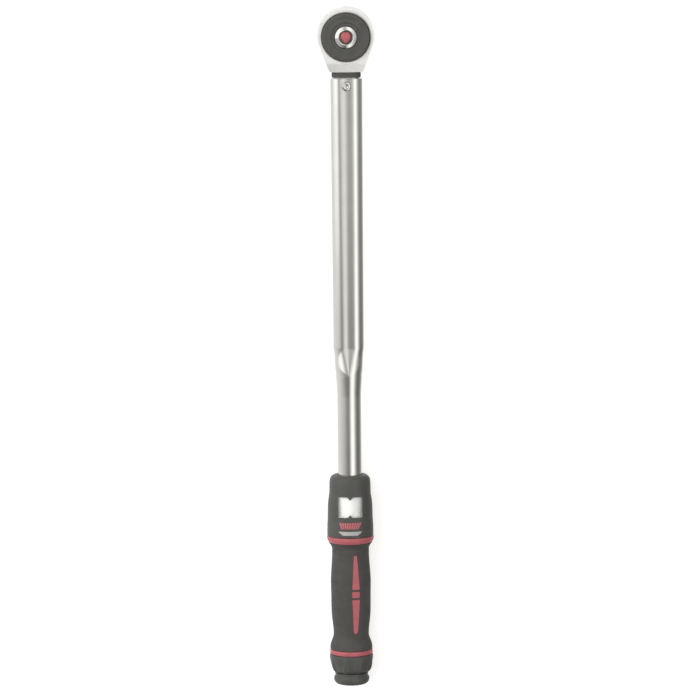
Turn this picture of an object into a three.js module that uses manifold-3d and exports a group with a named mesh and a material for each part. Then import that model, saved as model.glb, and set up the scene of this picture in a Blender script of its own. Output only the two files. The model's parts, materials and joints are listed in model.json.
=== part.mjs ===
// Click-type torque wrench with a round reversible ratchet head, in millimetres.
// The wrench lies flat: the handle points along +X, the drive square points along -Z,
// and the origin is on the drive axis, in the end face of the drive square.
import * as THREE from 'three';
import { mergeVertices } from 'three/addons/utils/BufferGeometryUtils.js';
import Module from 'manifold-3d';

const manifold = await Module();
manifold.setup();
const { Manifold, Mesh: ManifoldMesh } = manifold;

// ---------- driving dimensions ----------
const AXIS_Z = 28; // height of the tube's axis over the end of the drive square
const GAP = 0.3; // clearance between neighbouring pieces

// 1/2 inch drive square
const SQUARE = 12.7;
const SQUARE_TOP = 15.6;
const SQUARE_CHAMFER = 0.9;

// ratchet head
const HEAD_CENTRE_X = -1.3;
const HEAD_R = 25;
const HEAD_BOTTOM = 17;
const HEAD_TOP = 39.5;
const HEAD_BEVEL = 2;
const HEAD_SHOULDER_X = 12;
const NECK_END_X = 30.5;
const NECK_HALF_WIDTH = 14.4;
const NECK_HALF_HEIGHT = 8.4;
const NECK_SLOPE_X = 23.5;

// ratchet gear, pawl and selector
const TEETH = 36;
const GEAR_TIP_R = 15.1;
const GEAR_ROOT_R = 13.8;
const GEAR_Z = [20.6, 31.8];
const GEAR_CAVITY_R = 15.7;
const JOURNAL_R = 10.5;
const HUB_R = 8.7;
const HUB_BORE_R = 6.1;
const HUB_TOP = 41.8;
const HUB_BORE_FLOOR = 33;
const PAWL_PIVOT_X = 23.2;
const PAWL_HALF_TURN = 6.5; // degrees either side of its middle position
const SELECTOR_HALF_TURN = 25; // degrees either side of its middle position
const SELECTOR_PIN_ORBIT = 18.6;
const SELECTOR_PIN_R = 1.5;
const DIAL_R = 20.9;
const DIAL_BOTTOM = 33.3;
const DIAL_TOP = 44.5;
const DIAL_SEAT_Z = 33;

// quick-release button and retaining ball
const BUTTON_R = 5.7;
const STEM_R = 1.7;
const BALL_R = 2.6;
const BALL_Y = 4.6;
const BALL_Z = 7.5;

// tube: flattened in front, round under the handle
const TUBE_START = 36.2;
const FLAT_END = 274;
const SHOULDER_X = 297; // end of the flats, where the tube is round but still wide
const SHOULDER_R = 11.3;
const ROUND_START = 317;
const TUBE_END = 541.5;
const WALL = 2;
const SIDE_R = 8.65;
const ROUND_R = 10.5;
const FLAT_HALF = [5.35, 4.75]; // half the flat's width at the mouth and at FLAT_END
const PIVOT_X = 43;
const PIVOT_R = 4;

// click mechanism
const LEVER_END = 160;
const TILT_X = 168; // axis on which the tilt block rocks in the plunger
const TILT_HALF = 4;
const SHOE_X = [169, 190];
const ROD_X = [190.3, 321.7];
const SEAT_X = [322, 326, 340];
const SPRING_X = [326.4, 392.4];
const SPRING_TURNS = 11;
const SPRING_COIL_R = 6.1;
const SPRING_WIRE_R = 1.6;

// load adjustment and scale
const NUT_X = [393, 407];
const LINK_X = 400;
const LINK_R = 1.5;
const SLOT_X = [391.8, 408.2];
const SCREW_R = 4;
const SCREW_X = [385, 556];
const FLANGE_X = [500, 503.7];
const PLUG_X = [506, 526];
const PLUG_PIN_X = 516;
const SLEEVE_X = [396.2, 430.4];
const SLEEVE_R = [11, 14.6];
const CARD_X = [398.1, 429.3];
const CARD_R = [14.8, 15.6];

// handle
const HANDLE_BORE_R = 10.8;
const COLLAR_X = [386.7, 441];
const COLLAR_CAVITY_X = [389.8, 438];
const COLLAR_CAVITY_R = 16.1;
const WINDOW_X = [404.6, 422.8];
const WINDOW_HALF_WIDTH = 11;
const TRIM_END = 446.8;
const CORE_X = [447.2, 543];
const CORE_R = 12.6;
const GRIP_END = 543.4;
const INLAY_ANGLE = 15; // degrees from the top of the grip
const INLAY_DEPTH = 1.2;
const KNOB_X = [543.8, 565];
const CAP_END = 575.8;
const RING_SEGMENTS = 44;
const SMALL_SEGMENTS = 24;

// ---------- helpers ----------
const radians = THREE.MathUtils.degToRad;

// Merges coincident corners, drops collapsed triangles and turns all faces outwards.
function closed(source) {
  const bare = new THREE.BufferGeometry();
  bare.setAttribute('position', source.getAttribute('position').clone());
  if (source.index) bare.setIndex(source.index.clone());
  const merged = mergeVertices(bare, 1e-4);
  const p = merged.getAttribute('position');
  const kept = [];
  let volume = 0;
  const [a, b, c] = [new THREE.Vector3(), new THREE.Vector3(), new THREE.Vector3()];
  for (let i = 0; i < merged.index.count; i += 3) {
    const corner = [0, 1, 2].map((k) => merged.index.getX(i + k));
    if (new Set(corner).size < 3) continue;
    kept.push(...corner);
    a.fromBufferAttribute(p, corner[0]);
    b.fromBufferAttribute(p, corner[1]);
    c.fromBufferAttribute(p, corner[2]);
    volume += a.dot(b.cross(c));
  }
  if (volume < 0) kept.reverse();
  merged.setIndex(kept);
  return merged;
}

// A closed geometry as a solid that can be joined and cut.
function solid(geometry) {
  const g = closed(geometry);
  return new Manifold(new ManifoldMesh({
    numProp: 3,
    vertProperties: new Float32Array(g.getAttribute('position').array),
    triVerts: new Uint32Array(g.index.array),
  }));
}

// A solid as a geometry.
function geometryOf(shape) {
  const mesh = shape.getMesh();
  const g = new THREE.BufferGeometry();
  g.setAttribute('position', new THREE.BufferAttribute(new Float32Array(mesh.vertProperties), 3));
  g.setIndex([...mesh.triVerts]);
  return g;
}

function outline(points) {
  return new THREE.Shape(points.map(([x, y]) => new THREE.Vector2(x, y)));
}

function circle(r, x = 0, y = 0) {
  const shape = new THREE.Shape();
  shape.absarc(x, y, r, 0, 2 * Math.PI);
  return shape;
}

// An outline in X and Y, raised from z0 to z1, with an optional bevel on both ends.
function prism(shape, z0, z1, bevel = 0, segments = 12, steps = 1) {
  const g = new THREE.ExtrudeGeometry(shape, {
    depth: z1 - z0 - 2 * bevel,
    curveSegments: segments,
    bevelEnabled: bevel > 0,
    bevelThickness: bevel,
    bevelSize: bevel,
    bevelOffset: -bevel,
    bevelSegments: steps,
  });
  g.translate(0, 0, z0 + bevel);
  return solid(g);
}

// A round rod or hole along Z.
const post = (r, z0, z1, x = 0, y = 0, segments = SMALL_SEGMENTS) =>
  prism(circle(r, x, y), z0, z1, 0, segments / 2);

// A profile of [distance along the axis, radius], turned around an axis.
function turned(profile, segments) {
  const points = profile.map(([along, r]) => new THREE.Vector2(r, along));
  return new THREE.LatheGeometry(points, segments);
}

// Turned around the tube's axis.
const turnedX = (profile, segments = RING_SEGMENTS) =>
  solid(turned(profile, segments).rotateZ(-Math.PI / 2).translate(0, 0, AXIS_Z));

// Turned around a vertical axis.
const turnedZ = (profile, segments = RING_SEGMENTS, x = 0, y = 0) =>
  solid(turned(profile, segments).rotateX(Math.PI / 2).translate(x, y, 0));

// A closed profile for a ring between two radii.
const ring = (x0, x1, inner, outer) => [[x0, inner], [x0, outer], [x1, outer], [x1, inner], [x0, inner]];

// A closed profile between an outer contour and a straight bore.
function sleeve(contour, bore) {
  const first = contour[0][0];
  const last = contour[contour.length - 1][0];
  return [[first, bore], ...contour, [last, bore], [first, bore]];
}

// Corners of a flattened circle: two half circles of radius r, moved apart by half on each side.
function flattened(half, r, corners = 32) {
  const points = [];
  for (const side of [1, -1]) {
    for (let i = 0; i <= corners / 2; i += 1) {
      const angle = (i / (corners / 2) - 0.5) * Math.PI + (side < 0 ? Math.PI : 0);
      points.push([side * half + r * Math.cos(angle), r * Math.sin(angle)]);
    }
  }
  return points;
}

// A bar through sections [x, half, r] along the tube's axis.
function bar(sections) {
  const rings = sections.map(([x, half, r]) => flattened(half, r).map(([y, z]) => [x, y, z + AXIS_Z]));
  const n = rings[0].length;
  const position = rings.flat(2);
  const index = [];
  for (let k = 0; k + 1 < rings.length; k += 1) {
    for (let i = 0; i < n; i += 1) {
      const j = (i + 1) % n;
      const [a, b, c, d] = [k * n + i, k * n + j, (k + 1) * n + j, (k + 1) * n + i];
      index.push(a, b, c, a, c, d);
    }
  }
  const last = (rings.length - 1) * n;
  for (let i = 1; i + 1 < n; i += 1) index.push(0, i + 1, i, last, last + i, last + i + 1);
  const g = new THREE.BufferGeometry();
  g.setAttribute('position', new THREE.BufferAttribute(new Float32Array(position), 3));
  g.setIndex(index);
  return solid(g);
}

// A coil spring with closed wire ends, wound along Z.
function coil(z0, z1, coilR, wireR, turns, perTurn, sides, x = 0, y = 0) {
  const count = turns * perTurn;
  const length = z1 - z0 - 2 * wireR;
  const position = [];
  const index = [];
  for (let i = 0; i <= count; i += 1) {
    const angle = (2 * Math.PI * i) / perTurn;
    const z = z0 + wireR + (length * i) / count;
    for (let s = 0; s < sides; s += 1) {
      const around = (2 * Math.PI * s) / sides;
      const r = coilR + wireR * Math.cos(around);
      position.push(x + r * Math.cos(angle), y + r * Math.sin(angle), z + wireR * Math.sin(around));
    }
  }
  for (let i = 0; i < count; i += 1) {
    for (let s = 0; s < sides; s += 1) {
      const t = (s + 1) % sides;
      const [a, b, c, d] = [i * sides + s, i * sides + t, (i + 1) * sides + t, (i + 1) * sides + s];
      index.push(a, b, c, a, c, d);
    }
  }
  const last = count * sides;
  for (let s = 1; s + 1 < sides; s += 1) index.push(0, s + 1, s, last, last + s, last + s + 1);
  const g = new THREE.BufferGeometry();
  g.setAttribute('position', new THREE.BufferAttribute(new Float32Array(position), 3));
  g.setIndex(index);
  return g;
}

const joined = (...shapes) => Manifold.union(shapes);

function cutFrom(shape, ...tools) {
  return tools.reduce((left, tool) => left.subtract(tool), shape);
}

// Turns a solid around a vertical axis through x on the X axis.
const swung = (shape, x, degrees) => shape.translate([-x, 0, 0]).rotate([0, 0, degrees]).translate([x, 0, 0]);

// Turns a solid around the tube's axis.
const rolled = (shape, degrees) => shape.translate([0, 0, -AXIS_Z]).rotate([degrees, 0, 0]).translate([0, 0, AXIS_Z]);

const model = new THREE.Group();
model.name = 'torque_wrench';

const STEEL = { color: 0xc9c7c0, metalness: 1, roughness: 0.3 };
const SATIN = { color: 0xdad8cf, metalness: 1, roughness: 0.42 };
const DARK_STEEL = { color: 0x6f6d68, metalness: 1, roughness: 0.4 };
const BLACK = { color: 0x4a4a46, metalness: 0, roughness: 0.5 };
const RUBBER = { color: 0x4c4b47, metalness: 0, roughness: 0.75 };
const RED = { color: 0xa84a50, metalness: 0, roughness: 0.45 };
const CARD = { color: 0xf4f3ea, metalness: 0, roughness: 0.6 };
const CLEAR = { color: 0xf2f4f2, metalness: 0, roughness: 0.1, transparent: true, opacity: 0.35 };
const GREY = { color: 0xa6a39f, metalness: 0, roughness: 0.6 };

function add(name, shape, look) {
  const g = shape instanceof THREE.BufferGeometry ? closed(shape) : closed(geometryOf(shape));
  const flat = g.toNonIndexed();
  flat.computeVertexNormals();
  const mesh = new THREE.Mesh(flat, new THREE.MeshStandardMaterial(look));
  mesh.name = name;
  model.add(mesh);
}

// ---------- head housing: forged ring, neck, shank and lever in one ----------
function housingOutline() {
  const shoulder = Math.acos((HEAD_SHOULDER_X - HEAD_CENTRE_X) / HEAD_R);
  const shape = new THREE.Shape();
  shape.moveTo(NECK_END_X, -NECK_HALF_WIDTH);
  shape.lineTo(NECK_END_X, NECK_HALF_WIDTH);
  shape.absarc(HEAD_CENTRE_X, 0, HEAD_R, shoulder, 2 * Math.PI - shoulder, false);
  return shape;
}

const sideView = outline([
  [HEAD_CENTRE_X - HEAD_R - 1, HEAD_BOTTOM - AXIS_Z], [NECK_SLOPE_X, HEAD_BOTTOM - AXIS_Z],
  [NECK_END_X, -NECK_HALF_HEIGHT], [NECK_END_X + 1, -NECK_HALF_HEIGHT],
  [NECK_END_X + 1, NECK_HALF_HEIGHT], [NECK_END_X, NECK_HALF_HEIGHT],
  [NECK_SLOPE_X, HEAD_TOP - AXIS_Z], [HEAD_CENTRE_X - HEAD_R - 1, HEAD_TOP - AXIS_Z],
]);
const sideProfile = prism(sideView, -40, 40).rotate([90, 0, 0]).translate([0, 0, AXIS_Z]);
const SHANK_START = 28;
const lever = bar([
  [SHANK_START, 5, 6], [54, 5, 6], [66, 2.4, 4.6], [LEVER_END, 0.6, 4.4],
]);

const POCKET_HALF = 11.2;
const POCKET_END = 28;
const pawlPocket = outline([
  [11, -POCKET_HALF], [POCKET_END - 4, -POCKET_HALF], [POCKET_END, -POCKET_HALF + 4],
  [POCKET_END, POCKET_HALF - 4], [POCKET_END - 4, POCKET_HALF], [11, POCKET_HALF],
]);
const CAVITY_FLOOR = 20.3;
const PAWL_PIN_R = 1.9;
const PAWL_PIN_Z = [18.4, 31.6];
const DETENT_ORBIT = 18.7;
const DETENT_BALL_R = 1.8;
const DETENT_BALL_Z = 32.2;
const DETENT_SPRING_Z = [26.6, 30.1];

add('head_housing', cutFrom(
  joined(prism(housingOutline(), HEAD_BOTTOM, HEAD_TOP, HEAD_BEVEL, 20, 2).intersect(sideProfile), lever),
  turnedZ([[DIAL_SEAT_Z, 0], [DIAL_SEAT_Z, DIAL_R + GAP], [HEAD_TOP + 1, DIAL_R + GAP], [HEAD_TOP + 1, 0]]),
  post(GEAR_CAVITY_R, CAVITY_FLOOR, DIAL_SEAT_Z + 1, 0, 0, 48),
  post(JOURNAL_R + GAP, HEAD_BOTTOM - 1, CAVITY_FLOOR + 1, 0, 0, 36),
  prism(pawlPocket, CAVITY_FLOOR, DIAL_SEAT_Z + 0.5),
  post(PAWL_PIN_R + 0.1, PAWL_PIN_Z[0] - GAP, CAVITY_FLOOR + 1, PAWL_PIVOT_X),
  post(DETENT_BALL_R + 0.2, DETENT_SPRING_Z[0] - GAP, DIAL_SEAT_Z + 1, 0, -DETENT_ORBIT),
  post(PIVOT_R + GAP, AXIS_Z - SIDE_R, AXIS_Z + SIDE_R, PIVOT_X),
), SATIN);

// Rubber ring on the shank, which keeps dirt out of the tube's mouth.
const SEAL_X = [30.9, 35.5];
add('mouth_seal', cutFrom(
  bar([[SEAL_X[0], 4.9, 7.9], [SEAL_X[1], 4.9, 7.9]]),
  bar([[SEAL_X[0] - 1, 5, 6 + GAP], [SEAL_X[1] + 1, 5, 6 + GAP]]),
), BLACK);

add('pivot_pin', turnedZ([
  [AXIS_Z - SIDE_R - 0.5, 0], [AXIS_Z - SIDE_R - 0.1, PIVOT_R - 0.8], [AXIS_Z - SIDE_R + 0.6, PIVOT_R],
  [AXIS_Z + SIDE_R - 0.6, PIVOT_R], [AXIS_Z + SIDE_R + 0.1, PIVOT_R - 0.8], [AXIS_Z + SIDE_R + 0.5, 0],
], SMALL_SEGMENTS, PIVOT_X), STEEL);

// ---------- ratchet gear, and the drive square pressed into it ----------
function gearOutline(clearance = 0) {
  const points = [];
  const tooth = (2 * Math.PI) / TEETH;
  for (let i = 0; i < TEETH; i += 1) {
    for (const [part, r] of [[-0.3, GEAR_ROOT_R], [-0.1, GEAR_TIP_R], [0.1, GEAR_TIP_R], [0.3, GEAR_ROOT_R]]) {
      const angle = (i + part) * tooth;
      points.push([(r + clearance) * Math.cos(angle), (r + clearance) * Math.sin(angle)]);
    }
  }
  return outline(points);
}

const square = outline([[-1, -1], [1, -1], [1, 1], [-1, 1]].map(([x, y]) => [(x * SQUARE) / 2, (y * SQUARE) / 2]));
const ballHole = post(BALL_R + 0.15, 0, SQUARE).rotate([-90, 0, 0]).translate([0, 1, BALL_Z]);
add('ratchet_gear', cutFrom(
  joined(
    prism(gearOutline(), GEAR_Z[0], GEAR_Z[1]),
    post(JOURNAL_R, SQUARE_TOP, GEAR_Z[0] + 1, 0, 0, 36),
    post(HUB_R, GEAR_Z[1] - 1, HUB_TOP, 0, 0, 36),
  ),
  post(HUB_BORE_R, SQUARE_TOP - 1, HUB_TOP + 1, 0, 0, 32),
), STEEL);
add('drive_square', cutFrom(
  joined(
    prism(square, 0, SQUARE_TOP - GAP, SQUARE_CHAMFER),
    post(HUB_BORE_R - GAP, SQUARE_TOP - 2, HUB_BORE_FLOOR, 0, 0, 32),
  ),
  post(STEM_R + GAP, 2.2, HUB_BORE_FLOOR + 1),
  ballHole,
), STEEL);

// Spring clip that holds the selector dial on the gear's hub.
const CLIP_Z = [39.9, 40.8];
const clipGap = prism(outline([[0, -2], [12, -2], [12, 2], [0, 2]]), CLIP_Z[0] - 1, CLIP_Z[1] + 1);
add('hub_clip', cutFrom(
  turnedZ(ring(CLIP_Z[0], CLIP_Z[1], HUB_R + 0.1, HUB_R + 1), SMALL_SEGMENTS + 8), clipGap,
), DARK_STEEL);

const BEZEL_R = 9.5;
const BEZEL_Z = [HUB_TOP + 0.2, 46];
add('bezel_ring', turnedZ([
  [BEZEL_Z[0], HUB_BORE_R], [BEZEL_Z[0], BEZEL_R], [BEZEL_Z[1] - 1.6, BEZEL_R],
  [BEZEL_Z[1], HUB_BORE_R + 0.5], [BEZEL_Z[1] - 0.4, HUB_BORE_R], [BEZEL_Z[0], HUB_BORE_R],
], 36), STEEL);

// ---------- quick-release button, its spring and the retaining ball ----------
const BUTTON_Z = [38.5, 45.4];
const INSERT_Z = [43.6, 47];
const GROOVE = [[7.7, STEM_R], [9.3, 0.95], [12.2, 0.95], [13.4, STEM_R]];
const insertOutline = outline([
  [-4.8, -2.3], [-2.4, -4.4], [1.2, -4.2], [4.9, -0.9], [4.9, 0.9], [1.2, 4.2], [-2.4, 4.4], [-4.8, 2.3],
]);
add('release_button', cutFrom(
  turnedZ([
    [5.2, 0], [5.2, STEM_R], ...GROOVE, [BUTTON_Z[0], STEM_R], [BUTTON_Z[0], BUTTON_R],
    [BUTTON_Z[1] - 0.6, BUTTON_R], [BUTTON_Z[1], BUTTON_R - 0.6], [BUTTON_Z[1], 0],
  ], 32),
  prism(insertOutline, INSERT_Z[0] - 0.2, BUTTON_Z[1] + 1),
), BLACK);
add('button_insert', prism(insertOutline, INSERT_Z[0], INSERT_Z[1], 0).scale([0.95, 0.95, 1]), RED);
add('button_spring', coil(HUB_BORE_FLOOR + 0.2, BUTTON_Z[0] - 0.2, 4.6, 0.5, 3, 16, 6), STEEL);
add('retaining_ball', solid(new THREE.SphereGeometry(BALL_R, 20, 14).translate(0, BALL_Y, BALL_Z)), STEEL);

// ---------- selector dial, its pin and its detent ----------
add('selector_dial', cutFrom(
  turnedZ([
    [DIAL_BOTTOM, HUB_R + GAP], [DIAL_BOTTOM, 16.4], [DIAL_BOTTOM + 1.5, 16.4], [DIAL_BOTTOM + 1.5, 20.4],
    [DIAL_BOTTOM, 20.4], [DIAL_BOTTOM, DIAL_R], [DIAL_TOP - 1.6, DIAL_R], [DIAL_TOP - 0.4, DIAL_R - 0.5],
    [DIAL_TOP, DIAL_R - 1.6], [DIAL_TOP, 13], [DIAL_TOP - 0.8, 12], [DIAL_TOP - 0.8, 10.6],
    [DIAL_TOP - 0.8, BEZEL_R + GAP + 0.2], [CLIP_Z[0] - GAP, BEZEL_R + GAP + 0.2], [CLIP_Z[0] - GAP, HUB_R + GAP],
    [DIAL_BOTTOM, HUB_R + GAP],
  ], 56),
  post(SELECTOR_PIN_R + 0.15, DIAL_BOTTOM - 1, 37.3, SELECTOR_PIN_ORBIT).rotate([0, 0, -SELECTOR_HALF_TURN]),
), BLACK);
const PIN_Z = [28.9, 37];
const selectorPin = post(SELECTOR_PIN_R, PIN_Z[0], PIN_Z[1], SELECTOR_PIN_ORBIT, 0, 16)
  .rotate([0, 0, -SELECTOR_HALF_TURN]);
add('selector_pin', selectorPin, STEEL);
add('detent_ball', solid(new THREE.SphereGeometry(DETENT_BALL_R, 16, 10).translate(0, -DETENT_ORBIT, DETENT_BALL_Z)), STEEL);
add('detent_spring', coil(DETENT_SPRING_Z[0], DETENT_SPRING_Z[1], 1.2, 0.28, 3, 12, 5, 0, -DETENT_ORBIT), STEEL);

// ---------- double-ended pawl ----------
// It rests with one end in the gear. Everything that the gear and the selector's pin sweep
// through in its own frame, while it rocks to the other end, is cut away from it.
const PAWL_Z = [20.9, 31.4];
const PAWL_STEPS = 8;
const pawlBlock = outline([
  [12.5, -9.6], [20.5, -9.6], [26.2, -4.5], [26.2, 4.5], [20.5, 9.6], [12.5, 9.6],
]);
let pawl = swung(
  cutFrom(prism(pawlBlock, PAWL_Z[0], PAWL_Z[1]), post(GEAR_TIP_R + 0.4, 0, 50, 0, 0, 72)),
  PAWL_PIVOT_X, PAWL_HALF_TURN,
);
const gearSpace = prism(gearOutline(0.28), 0, 50);
for (let step = 0; step <= PAWL_STEPS; step += 1) {
  const share = step / PAWL_STEPS;
  const rocked = 2 * PAWL_HALF_TURN * share;
  const pinAngle = SELECTOR_HALF_TURN * (2 * share - 1);
  const pinSpace = post(SELECTOR_PIN_R + 0.45, PIN_Z[0] - GAP, 50, SELECTOR_PIN_ORBIT).rotate([0, 0, pinAngle]);
  pawl = cutFrom(pawl, swung(gearSpace, PAWL_PIVOT_X, rocked), swung(pinSpace, PAWL_PIVOT_X, rocked));
}
pawl = cutFrom(pawl, post(PAWL_PIN_R + 0.2, 0, 50, PAWL_PIVOT_X));
add('pawl', pawl, DARK_STEEL);
add('pawl_pin', post(PAWL_PIN_R, PAWL_PIN_Z[0], PAWL_PIN_Z[1], PAWL_PIVOT_X), STEEL);

// ---------- tube ----------
const tubeSections = [
  [TUBE_START, FLAT_HALF[0], SIDE_R],
  [FLAT_END, FLAT_HALF[1], SIDE_R],
  [SHOULDER_X, 0.3, SHOULDER_R],
  [ROUND_START, 0, ROUND_R],
  [TUBE_END, 0, ROUND_R],
];
const boreSections = tubeSections.map(([x, half, r]) => [x, half, r - WALL]);
boreSections[0][0] -= 1;
boreSections[4][0] += 1;
const linkSlot = outline([
  [SLOT_X[0] + 1.8, -1.8], [SLOT_X[1] - 1.8, -1.8], [SLOT_X[1], 0], [SLOT_X[1] - 1.8, 1.8],
  [SLOT_X[0] + 1.8, 1.8], [SLOT_X[0], 0],
]);
add('tube', cutFrom(
  bar(tubeSections),
  bar(boreSections),
  post(PIVOT_R + 0.15, 0, 2 * AXIS_Z, PIVOT_X),
  prism(linkSlot, -20, 20).rotate([90, 0, 0]).translate([0, 0, AXIS_Z]),
  post(1.7, AXIS_Z, 2 * AXIS_Z, PLUG_PIN_X),
), STEEL);

// ---------- click mechanism ----------
const tiltOutline = new THREE.Shape();
tiltOutline.moveTo(LEVER_END + GAP, TILT_HALF);
tiltOutline.lineTo(LEVER_END + GAP, -TILT_HALF);
tiltOutline.absarc(TILT_X, 0, TILT_HALF, -Math.PI / 2, Math.PI / 2, false);
add('tilt_block', prism(tiltOutline, AXIS_Z - 4.3, AXIS_Z + 4.3), STEEL);
add('plunger_shoe', cutFrom(
  bar([[SHOE_X[0], 4.6, 6.2], [SHOE_X[1], 4.6, 6.2]]),
  post(TILT_HALF + GAP, 0, 2 * AXIS_Z, TILT_X, 0, 32),
), STEEL);
add('push_rod', turnedX([
  [ROD_X[0], 0], [ROD_X[0], 3.9], [ROD_X[0] + 0.8, 4.5], [ROD_X[1] - 0.8, 4.5], [ROD_X[1], 3.9], [ROD_X[1], 0],
], SMALL_SEGMENTS), STEEL);
add('front_spring_seat', turnedX([
  [SEAT_X[0], 0], [SEAT_X[0], 8], [SEAT_X[1], 8], [SEAT_X[1], SCREW_R], [SEAT_X[2] - 1, SCREW_R],
  [SEAT_X[2], SCREW_R - 1], [SEAT_X[2], 0],
], SMALL_SEGMENTS), DARK_STEEL);
add('main_spring', coil(SPRING_X[0], SPRING_X[1], SPRING_COIL_R, SPRING_WIRE_R, SPRING_TURNS, 14, 6)
  .rotateY(Math.PI / 2).translate(0, 0, AXIS_Z), DARK_STEEL);

// ---------- load adjustment: nut, link pins, scale sleeve and card ----------
const NUT_R = 8.1;
const nutHoles = [90, -90].map((degrees) =>
  rolled(post(LINK_R + 0.15, AXIS_Z + 5.2, 2 * AXIS_Z, LINK_X), degrees));
add('adjuster_nut', cutFrom(turnedX(ring(NUT_X[0], NUT_X[1], SCREW_R + GAP, NUT_R), 32), ...nutHoles), STEEL);
for (const [name, degrees] of [['link_pin_left', 90], ['link_pin_right', -90]]) {
  add(name, rolled(post(LINK_R, AXIS_Z + 5.5, AXIS_Z + 13.4, LINK_X, 0, 16), degrees), STEEL);
}
add('scale_sleeve', cutFrom(
  turnedX(ring(SLEEVE_X[0], SLEEVE_X[1], SLEEVE_R[0], SLEEVE_R[1]), 36), ...nutHoles,
), GREY);

const wedge = (degrees) => {
  const reach = 40 * Math.tan(radians(degrees));
  return prism(outline([[0, 0], [reach, 40], [-reach, 40]]), 0, 700)
    .rotate([90, 0, 90]).translate([0, 0, AXIS_Z]);
};
add('scale_card', turnedX(ring(CARD_X[0], CARD_X[1], CARD_R[0], CARD_R[1]), 60).intersect(wedge(52)), CARD);

add('load_screw', turnedX([
  [SCREW_X[0], 0], [SCREW_X[0], SCREW_R - 0.8], [SCREW_X[0] + 1, SCREW_R], [FLANGE_X[0], SCREW_R],
  [FLANGE_X[0], 7.6], [FLANGE_X[1], 7.6], [FLANGE_X[1], SCREW_R], [SCREW_X[1] - 1, SCREW_R],
  [SCREW_X[1], SCREW_R - 0.8], [SCREW_X[1], 0],
], SMALL_SEGMENTS), STEEL);
add('thrust_washer', turnedX(ring(504, 505.7, SCREW_R + GAP, 8), 32), DARK_STEEL);
const plugHole = post(1.7, AXIS_Z + 5.2, 2 * AXIS_Z, PLUG_PIN_X);
add('rear_plug', cutFrom(turnedX(ring(PLUG_X[0], PLUG_X[1], SCREW_R + GAP, ROUND_R - WALL - 0.1), 36), plugHole), DARK_STEEL);
add('plug_pin', post(1.5, AXIS_Z + 5.5, AXIS_Z + ROUND_R + 0.1, PLUG_PIN_X, 0, 16), STEEL);

// ---------- collar with the scale window ----------
const collarContour = [
  [COLLAR_X[0], 12], [387.7, 15.7], [390.3, 17.7], [394, 18.2], [403, 18.4], [407, 19.1],
  [414, 19.8], [426, 20], [434, 20.5], [COLLAR_X[1], 20.5],
];
const collarBore = [
  [COLLAR_X[1], HANDLE_BORE_R], [COLLAR_CAVITY_X[1], HANDLE_BORE_R], [COLLAR_CAVITY_X[1], COLLAR_CAVITY_R],
  [COLLAR_CAVITY_X[0], COLLAR_CAVITY_R], [COLLAR_CAVITY_X[0], HANDLE_BORE_R], [COLLAR_X[0], HANDLE_BORE_R],
];
function windowOutline(margin) {
  const [x0, x1] = [WINDOW_X[0] + margin, WINDOW_X[1] - margin];
  const w = WINDOW_HALF_WIDTH - margin;
  return outline([
    [x0, -w], [x0, -2.4], [x0 + 2.7, 0], [x0, 2.4], [x0, w],
    [x1, w], [x1, 2.2], [x1 - 2.2, 0], [x1, -2.2], [x1, -w],
  ]);
}
add('collar', cutFrom(
  turnedX([...collarContour, ...collarBore, collarContour[0]], 52),
  prism(windowOutline(0), AXIS_Z + 5, 60),
), BLACK);
const LENS_INNER_R = 16.4;
const lensShell = turnedX([
  [403, LENS_INNER_R], [403, 18.2], [407, 18.8], [414, 19.5], [424, 19.7], [424, LENS_INNER_R],
  [403, LENS_INNER_R],
], 72);
add('scale_lens', lensShell.intersect(prism(windowOutline(0.25), AXIS_Z + 5, 60)), CLEAR);

// Plain colour bars printed on the collar, behind the window.
const barShell = (x0, x1, r0, r1) => turnedX([
  [x0, r0 + 0.1], [x0, r0 + 0.4], [x1, r1 + 0.4], [x1, r1 + 0.1], [x0, r0 + 0.1],
], 72).intersect(wedge(29));
add('marking_red', barShell(428.2, 431.8, 20.14, 20.37), RED);
add('marking_grey', barShell(434.6, 438.4, 20.5, 20.5), GREY);

// ---------- grip ----------
add('trim_ring', turnedX(sleeve([
  [COLLAR_X[1] + GAP, 20.4], [442.2, 20.7], [444.5, 20.6], [TRIM_END, 19.5],
], HANDLE_BORE_R), 48), RED);
add('grip_core', turnedX(ring(CORE_X[0], CORE_X[1], HANDLE_BORE_R, CORE_R), 36), BLACK);

const gripContour = (offset) => [
  [TRIM_END + GAP, 19.3], [448.3, 18.7], [450, 17.4], [452.5, 16.3], [463, 16.6], [476, 17.5], [482, 17.8],
  [492, 17.6], [509, 17.4], [516, 16.9], [525, 15.8], [531, 15.7], [534, 16.5], [538, 18], [540, 18.6],
  [GRIP_END, 18.8],
].map(([x, r]) => [x, r + offset]);
const gripSolid = (offset, bore) => turnedX(sleeve(gripContour(offset), bore), 48);

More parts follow.
